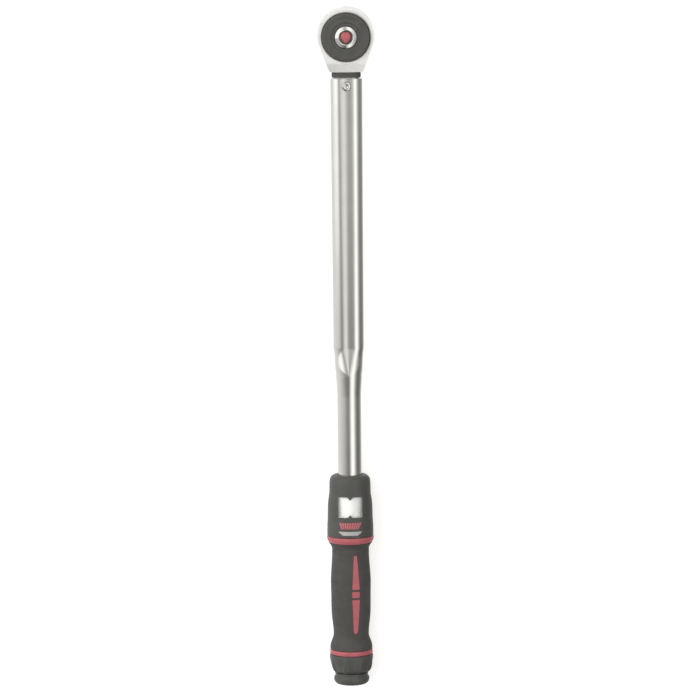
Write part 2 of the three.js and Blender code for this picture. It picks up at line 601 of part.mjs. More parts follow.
// Red inlays on the top and on the underside: two long drops and a short bar between them.
const INLAY_OUTLINES = {
  front: [[457.3, -1.5], [460, -2], [485.8, -3.4], [487.8, -2], [487.8, 2], [485.8, 3.4], [460, 2], [457.3, 1.5]],
  middle: [[489.6, -3.2], [495, -3.2], [495, 3.2], [489.6, 3.2]],
  rear: [[496.8, -2], [498.8, -3.4], [523, -2.4], [527.9, -0.9], [527.9, 0.9], [523, 2.4], [498.8, 3.4], [496.8, 2]],
};
const grown = (points, margin) => {
  const middle = points.reduce((sum, [x]) => sum + x, 0) / points.length;
  return points.map(([x, y]) => [x + margin * Math.sign(x - middle), y + margin * Math.sign(y)]);
};
let grip = gripSolid(0, CORE_R + GAP);
const inlayFloor = gripSolid(-INLAY_DEPTH, 1);
const inlayTop = gripSolid(0.15, 1);
for (const [side, turn] of [['top', 0], ['under', 180]]) {
  for (const [place, points] of Object.entries(INLAY_OUTLINES)) {
    const upright = (margin) => rolled(prism(outline(grown(points, margin)), AXIS_Z + 5, 60), turn - INLAY_ANGLE);
    add(`inlay_${side}_${place}`, upright(0).intersect(inlayTop).subtract(inlayFloor), RED);
    grip = grip.subtract(upright(0.2).subtract(gripSolid(-INLAY_DEPTH - 0.2, 1)));
  }
}
add('grip', grip, RUBBER);

// ---------- adjusting knob and its lock cap ----------
const RECESS_R = 9.6;
const KNOB_BORE_R = SCREW_R + 0.2;
const KNOB_RING_END = 547.9;
const KNOB_STEP_R = 15;
add('knob', turnedX([
  [KNOB_X[0], KNOB_BORE_R], [KNOB_X[0], KNOB_STEP_R], [KNOB_RING_END + GAP, KNOB_STEP_R],
  [KNOB_RING_END + GAP, 18.8], [549.5, 19.2], [556, 19.2], [558.6, 18.8], [561.2, 18.1], [563.2, 16.6],
  [KNOB_X[1], 15], [KNOB_X[1], RECESS_R], [551.2, RECESS_R], [551.2, KNOB_BORE_R], [KNOB_X[0], KNOB_BORE_R],
], 48), BLACK);
add('knob_ring', turnedX(sleeve([
  [KNOB_X[0], 18.5], [544.6, 18.9], [547.3, 18.9], [KNOB_RING_END, 18.6],
], KNOB_STEP_R + 0.2), 48), RED);
const hexagon = new THREE.Shape(Array.from({ length: 6 }, (_, i) =>
  new THREE.Vector2(6.2 * Math.cos((i * Math.PI) / 3), 6.2 * Math.sin((i * Math.PI) / 3))));
add('knob_nut', cutFrom(
  prism(hexagon, 551.5, 555.4, 0.4).rotate([0, 90, 0]).translate([0, 0, AXIS_Z]),
  turnedX([[540, 0], [540, SCREW_R + 0.1], [570, SCREW_R + 0.1], [570, 0]], SMALL_SEGMENTS),
), STEEL);
const LOCK_SLEEVE_X = [557, 567];
add('lock_sleeve', turnedX(ring(LOCK_SLEEVE_X[0], LOCK_SLEEVE_X[1], 6.8, 8.6), 32), DARK_STEEL);
const CAP_SKIRT_X = 558;
const CAP_SKIRT_R = [8.8, 9.4];
const CAP_FRONT = KNOB_X[1] + GAP;
add('lock_cap', turnedX([
  [CAP_SKIRT_X, CAP_SKIRT_R[0]], [CAP_SKIRT_X, CAP_SKIRT_R[1]], [CAP_FRONT, CAP_SKIRT_R[1]],
  [CAP_FRONT, 14.7], [567, 14.3], [568.4, 15.1], [569.5, 15.7], [571.8, 15.5], [574, 14.7],
  [575.3, 12.5], [CAP_END, 8], [CAP_END, 0], [LOCK_SLEEVE_X[1] + GAP, 0],
  [LOCK_SLEEVE_X[1] + GAP, CAP_SKIRT_R[0]], [CAP_SKIRT_X, CAP_SKIRT_R[0]],
], 48), BLACK);

export default model;
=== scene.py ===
# Looks of a click-type torque wrench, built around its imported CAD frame.
# Shapes are given in millimetres, in the frame's own axes, and turned into metres at the end.
import json
import math

import bmesh
import bpy
from mathutils import Matrix, Vector


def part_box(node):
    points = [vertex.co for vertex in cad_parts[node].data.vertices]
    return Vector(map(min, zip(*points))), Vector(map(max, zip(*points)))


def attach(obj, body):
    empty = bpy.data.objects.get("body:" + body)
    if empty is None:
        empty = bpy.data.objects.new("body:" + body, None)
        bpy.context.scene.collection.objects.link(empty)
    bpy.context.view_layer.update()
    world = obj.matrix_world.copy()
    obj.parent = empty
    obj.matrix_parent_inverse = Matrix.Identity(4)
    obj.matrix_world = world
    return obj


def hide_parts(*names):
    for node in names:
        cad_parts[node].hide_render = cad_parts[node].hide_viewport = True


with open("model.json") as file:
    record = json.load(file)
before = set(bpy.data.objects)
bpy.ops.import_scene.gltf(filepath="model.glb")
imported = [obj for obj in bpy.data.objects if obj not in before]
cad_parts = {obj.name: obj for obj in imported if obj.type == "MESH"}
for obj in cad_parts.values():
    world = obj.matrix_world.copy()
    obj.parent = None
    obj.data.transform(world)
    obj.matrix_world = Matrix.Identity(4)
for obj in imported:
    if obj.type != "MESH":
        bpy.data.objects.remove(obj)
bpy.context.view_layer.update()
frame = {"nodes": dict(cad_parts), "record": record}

MM = 0.001
AXIS_Z = 28.0  # height of the tube's axis over the end of the drive square
ROUND = 160  # segments of a large turned piece


# ---------- helpers: places ----------
def span(node):
    """Lowest and highest corner of a CAD node, in millimetres."""
    low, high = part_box(node)
    return low / MM, high / MM


def smooth(share):
    """A share from 0 to 1 that leaves and arrives gently."""
    share = min(1.0, max(0.0, share))
    return share * share * (3 - 2 * share)


def along_curve(points, steps=6):
    """A smooth curve of (along, radius) through the points, which never swings past them."""
    curve = []
    slopes = []
    for i, point in enumerate(points):
        before = points[max(i - 1, 0)]
        after = points[min(i + 1, len(points) - 1)]
        left = (point[1] - before[1]) / (point[0] - before[0]) if i else None
        right = (after[1] - point[1]) / (after[0] - point[0]) if i + 1 < len(points) else None
        if left is None or right is None:
            slopes.append(right if left is None else left)
        elif left * right <= 0:
            slopes.append(0.0)
        else:
            slopes.append(2 * left * right / (left + right))
    for i in range(len(points) - 1):
        (x0, r0), (x1, r1) = points[i], points[i + 1]
        width = x1 - x0
        for k in range(steps):
            t = k / steps
            blend = t * t * (3 - 2 * t)
            bow = t * (1 - t) ** 2 * slopes[i] - t * t * (1 - t) * slopes[i + 1]
            curve.append((x0 + t * width, r0 + blend * (r1 - r0) + bow * width))
    curve.append(points[-1])
    return curve


def filleted(points, closed=True, steps=4):
    """An outline whose corners are rounded. A third value in a point is its fillet's radius."""
    rounded = []
    count = len(points)
    for i, point in enumerate(points):
        here = Vector(point[:2])
        radius = point[2] if len(point) > 2 else 0
        if radius <= 0 or (not closed and i in (0, count - 1)):
            rounded.append(here)
            continue
        before = Vector(points[i - 1][:2]) - here
        after = Vector(points[(i + 1) % count][:2]) - here
        reach = radius / math.tan(before.angle(after) / 2)
        reach = min(reach, 0.48 * before.length, 0.48 * after.length)
        start = here + before.normalized() * reach
        end = here + after.normalized() * reach
        for k in range(steps + 1):
            t = k / steps
            rounded.append(start * (1 - t) ** 2 + here * (2 * t * (1 - t)) + end * t * t)
    return [tuple(point) for point in rounded]


# ---------- helpers: shapes ----------
def skinned(rings, closed=False):
    """A closed mesh through rings of points, with ends unless its last ring meets its first.

    A ring of one point is a tip.
    """
    bm = bmesh.new()
    made = [[bm.verts.new(point) for point in ring] for ring in rings]
    count = max(len(ring) for ring in made)
    pairs = list(zip(made, made[1:]))
    if closed:
        pairs.append((made[-1], made[0]))
    for a, b in pairs:
        for i in range(count):
            j = (i + 1) % count
            corners = [a[i % len(a)], a[j % len(a)], b[j % len(b)], b[i % len(b)]]
            corners = list(dict.fromkeys(corners))
            if len(corners) > 2:
                bm.faces.new(corners)
    if not closed:
        for ring in (made[0], made[-1]):
            if len(ring) > 2:
                bm.faces.new(ring)
    bmesh.ops.recalc_face_normals(bm, faces=bm.faces)
    return bm


def turned(profile, segments=ROUND, closed=False, upright=False, centre=(0.0, 0.0), shape=None):
    """A profile of (along, radius), turned around the tube's axis, or around an upright one."""
    rings = []
    for along, radius in profile:
        ring = []
        for i in range(segments if radius > 1e-6 else 1):
            turn = 2 * math.pi * i / segments
            r = shape(along, radius, turn) if shape and radius > 1e-6 else radius
            across, up = r * math.sin(turn), r * math.cos(turn)
            if upright:
                ring.append((centre[0] + up, centre[1] + across, along))
            else:
                ring.append((along, across, AXIS_Z + up))
        rings.append(ring)
    return skinned(rings, closed)


def stadium(x, half, radius, corners=96, across=1, hollow=0.0):
    """A ring of points: two half circles, moved apart, with flats between them that may be hollow."""
    ring = []
    for side in (1, -1):
        for i in range(corners // 2 + 1):
            turn = math.pi * i / (corners // 2)
            y = side * (half + radius * math.sin(turn))
            ring.append((x, y, AXIS_Z + side * radius * math.cos(turn)))
        for i in range(1, across):
            y = side * half * (1 - 2 * i / across)
            sink = hollow * (1 + math.cos(math.pi * y / half)) / 2 if half > 0 else 0.0
            ring.append((x, y, AXIS_Z - side * (radius - sink)))
    return ring


def slab(outline, low, high):
    """An outline in X and Y, raised from low to high."""
    return skinned([[(x, y, z) for x, y in outline] for z in (low, high)])


def carved(bm, *cutters, how="DIFFERENCE"):
    """The shape with each cutter cut away, joined to it or kept in common with it."""
    objects = []
    for part in (bm, *cutters):
        mesh = bpy.data.meshes.new("part")
        part.to_mesh(mesh)
        part.free()
        item = bpy.data.objects.new("part", mesh)
        bpy.context.scene.collection.objects.link(item)
        objects.append(item)
    for cutter in objects[1:]:
        modifier = objects[0].modifiers.new("cut", "BOOLEAN")
        modifier.operation = how
        modifier.solver = "EXACT"
        modifier.object = cutter
    bpy.context.view_layer.update()
    evaluated = objects[0].evaluated_get(bpy.context.evaluated_depsgraph_get())
    result = bmesh.new()
    result.from_mesh(evaluated.to_mesh())
    evaluated.to_mesh_clear()
    for item in objects:
        mesh = item.data
        bpy.data.objects.remove(item)
        bpy.data.meshes.remove(mesh)
    bmesh.ops.dissolve_degenerate(result, dist=1e-4, edges=result.edges)
    return result


def eased(bm, width, steps=3, least=20.0):
    """Rounds every edge that is sharper than the least angle."""
    edges = [e for e in bm.edges if e.is_manifold and e.calc_face_angle() > math.radians(least)]
    bmesh.ops.bevel(
        bm, geom=edges, offset=width, segments=steps, profile=0.5, affect="EDGES", clamp_overlap=True
    )
    return bm


def gathered(shapes):
    """Several shapes in one mesh, each left as it is."""
    together = bmesh.new()
    for shape in shapes:
        mesh = bpy.data.meshes.new("part")
        shape.to_mesh(mesh)
        shape.free()
        together.from_mesh(mesh)
        bpy.data.meshes.remove(mesh)
    return together


def moved(bm, matrix):
    bmesh.ops.transform(bm, matrix=matrix, verts=bm.verts)
    return bm


def rolled(bm, degrees):
    """Turned around the tube's axis."""
    lift = Matrix.Translation((0, 0, AXIS_Z))
    return moved(bm, lift @ Matrix.Rotation(math.radians(degrees), 4, "X") @ lift.inverted())


def piece(name, bm, body, slot, stands_for=(), sharp=38):
    """Adds a shape in millimetres as a piece that rides on a body and stands for CAD nodes."""
    bmesh.ops.remove_doubles(bm, verts=bm.verts, dist=1e-4)
    bmesh.ops.recalc_face_normals(bm, faces=bm.faces)
    mesh = bpy.data.meshes.new(name)
    bm.to_mesh(mesh)
    bm.free()
    mesh.transform(Matrix.Scale(MM, 4))
    mesh.shade_smooth()
    mesh.set_sharp_from_angle(angle=math.radians(sharp))
    item = bpy.data.objects.new(name, mesh)
    bpy.context.scene.collection.objects.link(item)
    mesh.materials.append(FINISHES[slot])
    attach(item, body)
    if stands_for:
        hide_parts(*stands_for)
    return item


# ---------- materials ----------
def plug(tree, socket, value):
    """Sets an input to a value, or links it to another node's output."""
    if isinstance(value, bpy.types.NodeSocket):
        tree.links.new(value, socket)
    else:
        socket.default_value = value


def add_node(tree, kind, settings=None, **inputs):
    """A new node. An input is given by its name, or by its number as i0, i1 and so on."""
    node = tree.nodes.new(kind)
    for key, value in (settings or {}).items():
        setattr(node, key, value)
    for key, value in inputs.items():
        by_number = key[0] == "i" and key[1:].isdigit()
        plug(tree, node.inputs[int(key[1:])] if by_number else node.inputs[key], value)
    return node


def map_range(tree, value, start, end, low, high):
    """The value carried from the range start to end over to the range low to high."""
    limits = {"From Min": start, "From Max": end, "To Min": low, "To Max": high}
    return add_node(tree, "ShaderNodeMapRange", Value=value, **limits).outputs[0]


class Nodes:
    """Builds a node tree around a principled shader."""

    def __init__(self, name):
        self.material = bpy.data.materials.new(name)
        self.material.use_nodes = True
        self.tree = self.material.node_tree
        self.shader = self.tree.nodes["Principled BSDF"]

    def add(self, kind, settings=None, **inputs):
        return add_node(self.tree, kind, settings, **inputs).outputs[0]

    def math(self, operation, a, b=0.0):
        return self.add("ShaderNodeMath", {"operation": operation}, i0=a, i1=b)

    def place(self, stretch=(1, 1, 1)):
        """The place on the piece, in its own axes."""
        coordinates = self.tree.nodes.new("ShaderNodeTexCoord")
        mapping = self.tree.nodes.new("ShaderNodeMapping")
        mapping.inputs["Scale"].default_value = stretch
        self.tree.links.new(coordinates.outputs["Object"], mapping.inputs["Vector"])
        return mapping.outputs[0]

    def noise(self, scale, stretch=(1, 1, 1), detail=3.0, rough=0.55):
        return self.add(
            "ShaderNodeTexNoise", Vector=self.place(stretch), Scale=scale, Detail=detail, Roughness=rough
        )

    def spread(self, value, low, high, start=0.3, end=0.7):
        return map_range(self.tree, value, start, end, low, high)

    def mix(self, share, a, b):
        node = self.tree.nodes.new("ShaderNodeMix")
        node.data_type = "RGBA"
        for index, value in ((0, share), (6, a), (7, b)):  # a colour mix has its colours in sockets 6 and 7
            plug(self.tree, node.inputs[index], value)
        return node.outputs[2]

    def into(self, name, value):
        """Sets or links an input of the principled shader."""
        plug(self.tree, self.shader.inputs[name], value)

    def edges(self, low=0.52, high=0.62):
        """1 on the outer edges of a piece, 0 elsewhere."""
        geometry = self.tree.nodes.new("ShaderNodeNewGeometry")
        return self.spread(geometry.outputs["Pointiness"], 0.0, 1.0, low, high)


def shade(color, factor):
    """A colour made lighter or darker, with its alpha."""
    return tuple(min(1.0, channel * factor) for channel in color[:3]) + (1.0,)


def finish(name, color, roughness, metallic=0.0, spread=0.08, cloud=90.0, grain=2200.0, depth=0.02,
           stretch=(1, 1, 1), vary=0.05, worn=None, wear=0.0, specular=0.5, scratches=0.0, dust=0.0):
    """A finish with clouded colour and grain in its relief, and with dust, wear or scratches if asked for.

    Cloud and grain are how fine the patterns are, per metre; depth is the relief's, in millimetres.
    """
    n = Nodes(name)
    clouds = n.noise(cloud, detail=4.0)
    tone = n.mix(n.spread(clouds, 0.0, 1.0), shade(color, 1 - spread), shade(color, 1 + spread))
    height = n.noise(grain, stretch, detail=2.0)
    if dust:
        specks = n.noise(grain * 0.35, detail=5.0, rough=0.7)
        tone = n.mix(n.spread(specks, 0.0, dust, 0.55, 0.75), tone, shade(color, 2.2))
    if worn:
        patches = n.spread(n.noise(cloud * 4, detail=5.0), 0.2, 1.0, 0.35, 0.65)
        tone = n.mix(n.math("MULTIPLY", n.math("MULTIPLY", n.edges(), patches), wear), tone, worn + (1.0,))
    n.into("Base Color", tone)
    gloss = n.spread(n.noise(cloud * 2.3, stretch, detail=5.0), roughness - vary, roughness + vary)
    if scratches:
        lines = n.noise(grain * 0.4, (0.03, 1.0, 1.0), detail=6.0, rough=0.75)
        gloss = n.math("ADD", gloss, n.spread(lines, 0.0, scratches, 0.5, 0.8))
    n.into("Roughness", gloss)
    n.into("Metallic", metallic)
    n.into("Specular IOR Level", specular)
    bump = n.add("ShaderNodeBump", Strength=1.0, Distance=depth * MM, Height=height)
    n.into("Normal", bump)
    return n.material


LIGHT_WEAR = (0.32, 0.31, 0.29)
FINISHES = {
    "polished_steel": finish(
        "polished_steel", (0.83, 0.815, 0.77), 0.13, metallic=1.0, spread=0.03, cloud=55.0, grain=5200.0,
        depth=0.0006, stretch=(0.06, 1, 1), vary=0.025, scratches=0.05,
    ),
    "satin_steel": finish(
        "satin_steel", (0.93, 0.92, 0.885), 0.38, metallic=0.6, spread=0.04, cloud=70.0, grain=3000.0,
        depth=0.006, vary=0.05, worn=(0.97, 0.96, 0.93), wear=0.5,
    ),
    "dark_steel": finish(
        "dark_steel", (0.16, 0.155, 0.15), 0.38, metallic=0.9, spread=0.15, cloud=120.0, grain=3500.0,
        depth=0.005, vary=0.07, worn=(0.5, 0.49, 0.47), wear=0.6,
    ),
    "black_plastic": finish(
        "black_plastic", (0.058, 0.057, 0.052), 0.42, spread=0.10, cloud=130.0, grain=3800.0, depth=0.012,
        vary=0.06, worn=LIGHT_WEAR, wear=0.12, dust=0.12,
    ),
    "black_rubber": finish(
        "black_rubber", (0.055, 0.052, 0.048), 0.62, spread=0.12, cloud=100.0, grain=2600.0, depth=0.03,
        vary=0.07, worn=LIGHT_WEAR, wear=0.08, specular=0.4, dust=0.2,
    ),
    "red_plastic": finish(
        "red_plastic", (0.375, 0.088, 0.098), 0.36, spread=0.08, cloud=150.0, grain=3600.0, depth=0.010,
        vary=0.06, worn=(0.62, 0.2, 0.2), wear=0.3,
    ),
    "white_card": finish(
        "white_card", (0.90, 0.895, 0.865), 0.55, spread=0.02, cloud=200.0, grain=4000.0, depth=0.004,
        vary=0.05,
    ),
    "grey_plastic": finish(
        "grey_plastic", (0.36, 0.35, 0.34), 0.5, spread=0.06, cloud=150.0, grain=3600.0, depth=0.008,
        vary=0.06,
    ),
}


def clear_finish():
    """Thin clear plastic: mostly open, with a gloss that grows towards its edges."""
    n = Nodes("clear_plastic")
    haze = n.spread(n.noise(180.0, detail=4.0), 0.90, 1.0)
    n.into("Base Color", n.mix(haze, (0.86, 0.88, 0.87, 1.0), (0.96, 0.97, 0.96, 1.0)))
    n.into("Roughness", n.spread(n.noise(900.0, detail=5.0), 0.04, 0.09))
    fresnel = n.add("ShaderNodeFresnel", IOR=1.45)
    n.into("Alpha", n.spread(fresnel, 0.03, 0.9, 0.035, 0.9))
    n.into("IOR", 1.49)
    return n.material


FINISHES["clear_plastic"] = clear_finish()

# The CAD nodes that no piece stands for, mostly hidden ones, wear the same finishes.
for row in frame["record"]["subparts"]:
    cad_mesh = frame["nodes"][row["node"]].data
    cad_mesh.materials.clear()
    cad_mesh.materials.append(FINISHES[row["material_slot"]])

# ---------- head housing ----------
HEAD_CENTRE_X = -1.3
HEAD_R = 25.0
HEAD_Z = (17.0, 39.5)
RING_SHOULDER = math.radians(66)  # where the round ring turns into the neck
NECK_END = span("mouth_seal")[0].x - 0.4
NECK_HALF_HEIGHT = 8.4
NECK_HALF_WIDTH = 14.4
NECK_ROOT = (28.2, 15.5)  # x and half width where the neck leaves the ring
NECK_SLOPE_X = 23.5
# x, half width and radius
LEVER = ((28, 5, 6), (53.5, 5, 6), (54.5, 4.9, 5.98), (66, 2.4, 4.6), (160, 0.6, 4.4))
EDGE_R = 2.8
DIAL_R = 20.9
DIAL_SEAT_Z = 33.0
DIAL_ROOM = DIAL_R + 0.3
GEAR_POCKET_FLOOR = 20.3
PIVOT_X = (span("pivot_pin")[0].x + span("pivot_pin")[1].x) / 2
PAWL_PIN_X = (span("pawl_pin")[0].x + span("pawl_pin")[1].x) / 2
DETENT_Y = -18.7


def head_outline():
    """The ring and the neck, seen along the drive axis."""
    steps = 150
    root_x, root_half = NECK_ROOT
    points = [(NECK_END, -NECK_HALF_WIDTH, 1.0), (NECK_END, NECK_HALF_WIDTH, 1.0), (root_x, root_half, 4.0)]
    for i in range(steps + 1):
        turn = RING_SHOULDER + (2 * math.pi - 2 * RING_SHOULDER) * i / steps
        points.append((HEAD_CENTRE_X + HEAD_R * math.cos(turn), HEAD_R * math.sin(turn)))
    points.append((root_x, -root_half, 4.0))
    return filleted(points, steps=6)


def head_housing():
    block = slab(head_outline(), HEAD_Z[0], HEAD_Z[1])
    side = [
        (-40, HEAD_Z[0]), (NECK_SLOPE_X, HEAD_Z[0], 6.0), (NECK_END, AXIS_Z - NECK_HALF_HEIGHT, 3.0),
        (60, AXIS_Z - NECK_HALF_HEIGHT), (60, AXIS_Z + NECK_HALF_HEIGHT),
        (NECK_END, AXIS_Z + NECK_HALF_HEIGHT, 3.0), (NECK_SLOPE_X, HEAD_Z[1], 5.0), (-40, HEAD_Z[1]),
    ]
    side_block = skinned([[(x, y, z) for x, z in filleted(side)] for y in (-40, 40)])
    block = eased(carved(block, side_block, how="INTERSECT"), EDGE_R, steps=6, least=25)
    lever = skinned([stadium(x, half, r) for x, half, r in LEVER])
    block = carved(block, lever, how="UNION")
    seat = turned([
        (DIAL_SEAT_Z, 0), (DIAL_SEAT_Z, DIAL_ROOM), (38.7, DIAL_ROOM), (39.1, DIAL_R + 0.4),
        (39.35, DIAL_R + 0.65), (39.45, DIAL_R + 0.95), (39.55, DIAL_R + 1.4), (43, DIAL_R + 1.6), (43, 0),
    ], upright=True)
    gear_room = turned([
        (GEAR_POCKET_FLOOR, 0), (GEAR_POCKET_FLOOR, 15.7), (34, 15.7), (34, 0),
    ], 96, upright=True)
    journal = turned([
        (15, 0), (15, 12.0), (16.95, 12.0), (17.2, 11.4), (17.6, 11.0), (18.0, 10.8), (21, 10.8), (21, 0),
    ], 96, upright=True)
    pocket = slab([(11, -11.2), (24, -11.2), (28, -7.2), (28, 7.2), (24, 11.2), (11, 11.2)],
                  GEAR_POCKET_FLOOR, 33.5)
    pawl_pin_hole = turned([
        (18.1, 0), (18.1, 2.0), (21, 2.0), (21, 0),
    ], 32, upright=True, centre=(PAWL_PIN_X, 0))
    detent_hole = turned([(26.3, 0), (26.3, 2), (34, 2), (34, 0)], 32, upright=True, centre=(0, DETENT_Y))
    pivot_hole = turned([(15, 0), (15, 4.3), (40, 4.3), (40, 0)], 64, upright=True, centre=(PIVOT_X, 0))
    return carved(block, seat, gear_room, journal, pocket, pawl_pin_hole, detent_hole, pivot_hole)


piece("head_forging", head_housing(), "head", "satin_steel", ["head_housing"], sharp=32)

# A black rubber seal fills the gap between the neck's end and the tube's mouth. It is partly a real part and
# partly painted shade: its black stands in for the shade that falls into that gap.
seal_low, seal_high = span("mouth_seal")
seal_rings = [  # x, outer radius, inner radius
    (seal_low.x, 7.4, 6.7), (seal_low.x + 0.5, 7.9, 6.3), (seal_high.x - 0.5, 7.9, 6.3),
    (seal_high.x, 7.4, 6.7),
]
seal_outside = [stadium(x, 4.9, outer) for x, outer, inner in seal_rings]
seal_inside = [stadium(x, 5.0, inner) for x, outer, inner in reversed(seal_rings)]
seal = skinned(seal_outside + seal_inside, closed=True)
piece("mouth_seal_with_painted_gap_shade", seal, "head", "black_rubber", ["mouth_seal"])

# ---------- ratchet gear, and the drive square pressed into it ----------
TEETH = 36
GEAR_TIP_R = 15.1
GEAR_ROOT_R = 13.8
GEAR_Z = (20.6, 31.8)
HUB_R = 8.7
HUB_TOP = 41.8
HUB_BORE_R = 6.1
SQUARE_HALF = 6.35
SHANK_R = 5.8
STEM_BORE_R = 2.0
BALL_R = 2.6
BALL_Z = 7.5


def ratchet_gear():
    teeth = []
    for i in range(TEETH):
        for part, r in ((-0.3, GEAR_ROOT_R), (-0.1, GEAR_TIP_R), (0.1, GEAR_TIP_R), (0.3, GEAR_ROOT_R)):
            turn = 2 * math.pi * (i + part) / TEETH
            teeth.append((r * math.cos(turn), r * math.sin(turn)))
    body = slab(teeth, GEAR_Z[0], GEAR_Z[1])
    journal = turned(filleted([
        (15.6, 0), (15.6, 10.5, 0.5), (21, 10.5), (21, 0),
    ], closed=False), 96, upright=True)
    hub = turned(filleted([
        (31, 0), (31, HUB_R), (HUB_TOP, HUB_R, 0.3), (HUB_TOP, 0),
    ], closed=False), 96, upright=True)
    bore = turned([
        (14, 0), (14, 6.7), (15.9, 6.2), (16.2, HUB_BORE_R), (43, HUB_BORE_R), (43, 0),
    ], 96, upright=True)
    return carved(carved(body, journal, hub, how="UNION"), bore)


def drive_square():
    corners = [(x * SQUARE_HALF, y * SQUARE_HALF, 0.7) for x, y in ((-1, -1), (1, -1), (1, 1), (-1, 1))]
    flat = filleted(corners, steps=5)
    levels = [  # inset of the square's sides, height
        (1.0, 0.0), (0.72, 0.08), (0.3, 0.42), (0.08, 0.85), (0.0, 1.3), (0.0, 14.4), (0.25, 14.9),
        (0.9, 15.3),
    ]
    rings = []
    for inset, z in levels:
        share = 1 - inset / SQUARE_HALF
        rings.append([(x * share, y * share, z) for x, y in flat])
    shank = turned([(14, 0), (14, SHANK_R), (33, SHANK_R), (33, 0)], 96, upright=True)
    stem = turned([(2.2, 0), (2.2, STEM_BORE_R), (34, STEM_BORE_R), (34, 0)], 48, upright=True)
    ball_hole = turned([(-0.5, 0), (-0.5, BALL_R + 0.15), (9, BALL_R + 0.15), (9, 0)], 48, upright=True)
    moved(ball_hole, Matrix.Translation((0, 0, BALL_Z)) @ Matrix.Rotation(math.radians(-90), 4, "X"))
    return carved(carved(skinned(rings), shank, how="UNION"), stem, ball_hole)


piece("drive_gear", ratchet_gear(), "drive", "satin_steel", ["ratchet_gear"], sharp=30)
piece("drive_anvil", drive_square(), "drive", "satin_steel", ["drive_square"], sharp=30)

ball = bmesh.new()
bmesh.ops.create_icosphere(ball, subdivisions=4, radius=BALL_R)
ball_low, ball_high = span("retaining_ball")
moved(ball, Matrix.Translation((ball_low + ball_high) / 2))
piece("catch_ball", ball, "ball", "polished_steel", ["retaining_ball"])

bezel_low, bezel_high = span("bezel_ring")
BEZEL_R = 9.5
piece("bezel", turned(filleted([
    (bezel_low.z, HUB_BORE_R, 0.2), (bezel_low.z, BEZEL_R, 0.2), (bezel_high.z - 1.6, BEZEL_R, 0.4),
    (bezel_high.z, 6.7, 0.25), (bezel_high.z - 0.3, HUB_BORE_R, 0.2),
], steps=6), 128, closed=True, upright=True), "drive", "polished_steel", ["bezel_ring"])

# ---------- quick-release button ----------
INSERT = [(-4.7, -2.2, 0.8), (-4.7, 2.2, 0.8), (-2.4, 4.3, 1.2), (1.0, 4.2, 1.2), (4.9, 0.9, 0.7),
          (4.9, -0.9, 0.7), (1.0, -4.2, 1.2), (-2.4, -4.3, 1.2)]


def grown(points, by):
    """An outline moved outwards from its middle."""
    return [(x + by * x / math.hypot(x, y), y + by * y / math.hypot(x, y)) for x, y in points]


insert_shape = filleted(INSERT, steps=5)
STEM_R = 1.7
STEM_WAIST_R = 0.95  # the ball drops into this waist when the button is pressed
BUTTON_R = 5.7
button = turned(filleted([
    (5.2, 0), (5.2, STEM_R, 0.4), (7.7, STEM_R), (9.3, STEM_WAIST_R), (12.2, STEM_WAIST_R), (13.4, STEM_R),
    (38.5, STEM_R), (38.5, BUTTON_R, 0.3), (45.4, BUTTON_R, 0.6), (45.3, 5.2, 0.3), (45.0, 0),
], closed=False), 96, upright=True)
insert_seat = slab(grown(insert_shape, 0.15), 43.4, 48)
piece("button_body", carved(button, insert_seat), "button", "black_plastic", ["release_button"])
insert_low, insert_high = span("button_insert")
domed = []
for inset, z in ((0.0, insert_low.z), (0.0, insert_high.z - 1.3), (0.12, insert_high.z - 0.95),
                 (0.45, insert_high.z - 0.55), (1.0, insert_high.z - 0.25), (2.0, insert_high.z)):
    domed.append([(x, y, z) for x, y in grown(insert_shape, -inset)])
piece("button_jewel", skinned(domed), "button", "red_plastic", ["button_insert"])


# ---------- selector dial ----------
GROOVES = 60
GROOVE_DEPTH = 0.35
BUMPS = (-133, -17, 52, 156)  # degrees
BUMP_ORBIT = 18.4
SELECTOR_PIN_ORBIT = 18.6
SELECTOR_PIN_TURN = math.radians(-25)


def dial_shape(along, radius, turn):
    """Fine grooves around the dial's rim."""
    if radius < DIAL_R - 0.6 or not 34.5 < along < 43.6:
        return radius
    return radius - GROOVE_DEPTH * max(0.0, math.cos(GROOVES * turn)) ** 2


def selector_dial():
    """The dial with its grooved rim, raised rings and four small raised bumps."""
    body = turned(filleted([
        (33.3, 9.0, 0.2), (33.3, 16.4, 0.3), (34.8, 16.4), (34.8, 20.4), (33.3, 20.4), (33.3, DIAL_R, 0.2),
        (34.3, DIAL_R), (34.9, DIAL_R), (41.0, DIAL_R), (43.0, DIAL_R), (43.5, DIAL_R, 0.3),
        (44.3, DIAL_R - 0.7, 0.5), (44.5, DIAL_R - 2.4, 0.6), (44.1, 16.0, 0.8), (44.3, 13.2, 0.5),
        (43.4, 12.2, 0.4), (43.5, 10.6, 0.3), (43.5, 10.0, 0.2), (39.6, 10.0), (39.6, 9.0),
    ], steps=5), 480, closed=True, upright=True, shape=dial_shape)
    pin_hole = turned([
        (32, 0), (32, 1.65), (37.3, 1.65), (37.3, 0),
    ], 32, upright=True, centre=(SELECTOR_PIN_ORBIT, 0))
    moved(pin_hole, Matrix.Rotation(SELECTOR_PIN_TURN, 4, "Z"))
    body = carved(body, pin_hole)
    bumps = []
    for degrees in BUMPS:
        bump = turned([
            (43.6, 0), (43.6, 1.6), (44.5, 1.5), (44.85, 1.1), (45.0, 0.5), (45.03, 0),
        ], 40, upright=True)
        turn = Matrix.Rotation(math.radians(180 - degrees), 4, "Z")
        stretched = Matrix.Translation((BUMP_ORBIT, 0, 0)) @ Matrix.Diagonal((0.8, 2.2, 1, 1))
        bumps.append(moved(bump, turn @ stretched))
    return carved(body, *bumps, how="UNION")


piece("selector_ring", selector_dial(), "selector", "black_plastic", ["selector_dial"], sharp=34)

